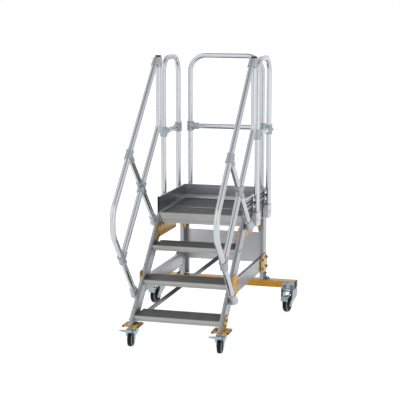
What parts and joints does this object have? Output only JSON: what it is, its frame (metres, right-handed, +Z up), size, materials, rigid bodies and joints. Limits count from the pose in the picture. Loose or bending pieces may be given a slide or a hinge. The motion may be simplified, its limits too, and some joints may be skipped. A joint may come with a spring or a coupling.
{
  "type": "mobile platform ladder",
  "caption": "Aluminium rolling platform ladder with railed stairs, a guarded work platform and braked swivel casters.",
  "frame": {"origin": "centre of the bounding box, on the floor under the wheels", "axes": "+Z up, +Y from the foot of the stairs to the back of the platform, +X to the right when climbing"},
  "size_m": [1.154, 1.619, 1.934],
  "materials": {
    "profile": "mill-finished extrusion, fine lines along its length",
    "tread": "ribbed anti-slip extrusion, darker top",
    "tube": "satin drawn tube",
    "cast": "fine-grained die casting",
    "gold": "gold coated, semi-gloss",
    "zinc": "bright zinc plate with a blue cast",
    "sheet": "plain sheet, faint rolling grain",
    "wheel": "black rubber tyre on a grey hub"
  },
  "bodies": {
    "ladder": {"stile_right": "profile", "stile_left": "profile", "platform_frame": "profile", "toe_board_right": "profile", "toe_board_left": "profile", "toe_board_rear": "profile", "rear_leg_right": "profile", "rear_leg_left": "profile", "base_beam_right": "profile", "base_beam_left": "profile", "diagonal_brace": "profile", "tread_1": "tread", "tread_2": "tread", "tread_3": "tread", "deck_front": "tread", "deck_rear": "tread", "stile_gusset_right": "gold", "stile_gusset_left": "gold", "leg_gusset_right": "gold", "leg_gusset_left": "gold", "stile_plate_right": "gold", "stile_plate_left": "gold", "leg_plate_right": "gold", "leg_plate_left": "gold", "stabiliser_beam": "gold", "front_foot_right": "gold", "front_foot_left": "gold", "leg_clamp_right": "zinc", "leg_clamp_left": "zinc", "rear_caster_bracket_right": "zinc", "rear_caster_bracket_left": "zinc", "rear_panel": "sheet", "side_guard_right": "tube", "side_guard_left": "tube", "rear_guard": "tube", "side_mid_rail_right": "tube", "side_mid_rail_left": "tube", "rear_mid_rail": "tube", "handrail_right": "tube", "handrail_left": "tube", "knee_rail_right": "tube", "knee_rail_left": "tube", "rail_brace_right": "tube", "rail_brace_left": "tube", "lower_clamp_right": "cast", "lower_clamp_left": "cast", "top_clamp_right": "cast", "top_clamp_left": "cast"},
    "fork_front_left": {"caster_fork_front_left": "zinc"},
    "wheel_front_left": {"caster_wheel_front_left": "wheel"},
    "pedal_front_left": {"brake_pedal_front_left": "zinc"},
    "fork_front_right": {"caster_fork_front_right": "zinc"},
    "wheel_front_right": {"caster_wheel_front_right": "wheel"},
    "pedal_front_right": {"brake_pedal_front_right": "zinc"},
    "fork_rear_left": {"caster_fork_rear_left": "zinc"},
    "wheel_rear_left": {"caster_wheel_rear_left": "wheel"},
    "pedal_rear_left": {"brake_pedal_rear_left": "zinc"},
    "fork_rear_right": {"caster_fork_rear_right": "zinc"},
    "wheel_rear_right": {"caster_wheel_rear_right": "wheel"},
    "pedal_rear_right": {"brake_pedal_rear_right": "zinc"}
  },
  "joints": [
    {"name": "swivel_front_left", "type": "hinge", "parent": "ladder", "child": "fork_front_left", "pos_m": [-0.314, -0.5275, 0.12], "axis": [0, 0, 1], "continuous": true},
    {"name": "roll_front_left", "type": "hinge", "parent": "fork_front_left", "child": "wheel_front_left", "pos_m": [-0.31125, -0.56239, 0.05], "axis": [0.9969, 0.0785, 0], "continuous": true},
    {"name": "brake_front_left", "type": "hinge", "parent": "fork_front_left", "child": "pedal_front_left", "pos_m": [-0.31055, -0.57136, 0.118], "axis": [0.9969, 0.0785, 0], "range_deg": [0, 12]},
    {"name": "swivel_front_right", "type": "hinge", "parent": "ladder", "child": "fork_front_right", "pos_m": [0.314, -0.5275, 0.12], "axis": [0, 0, 1], "continuous": true},
    {"name": "roll_front_right", "type": "hinge", "parent": "fork_front_right", "child": "wheel_front_right", "pos_m": [0.31675, -0.56239, 0.05], "axis": [0.9969, 0.0785, 0], "continuous": true},
    {"name": "brake_front_right", "type": "hinge", "parent": "fork_front_right", "child": "pedal_front_right", "pos_m": [0.31745, -0.57136, 0.118], "axis": [0.9969, 0.0785, 0], "range_deg": [0, 12]},
    {"name": "swivel_rear_left", "type": "hinge", "parent": "ladder", "child": "fork_rear_left", "pos_m": [-0.522, 0.6985, 0.175], "axis": [0, 0, 1], "continuous": true},
    {"name": "roll_rear_left", "type": "hinge", "parent": "fork_rear_left", "child": "wheel_rear_left", "pos_m": [-0.5286, 0.65905, 0.0625], "axis": [0.9863, -0.165, 0], "continuous": true},
    {"name": "brake_rear_left", "type": "hinge", "parent": "fork_rear_left", "child": "pedal_rear_left", "pos_m": [-0.52926, 0.6551, 0.158], "axis": [0.9863, -0.165, 0], "range_deg": [0, 5]},
    {"name": "swivel_rear_right", "type": "hinge", "parent": "ladder", "child": "fork_rear_right", "pos_m": [0.522, 0.6985, 0.175], "axis": [0, 0, 1], "continuous": true},
    {"name": "roll_rear_right", "type": "hinge", "parent": "fork_rear_right", "child": "wheel_rear_right", "pos_m": [0.5154, 0.65905, 0.0625], "axis": [0.9863, -0.165, 0], "continuous": true},
    {"name": "brake_rear_right", "type": "hinge", "parent": "fork_rear_right", "child": "pedal_rear_right", "pos_m": [0.51474, 0.6551, 0.158], "axis": [0.9863, -0.165, 0], "range_deg": [0, 5]}
  ]
}
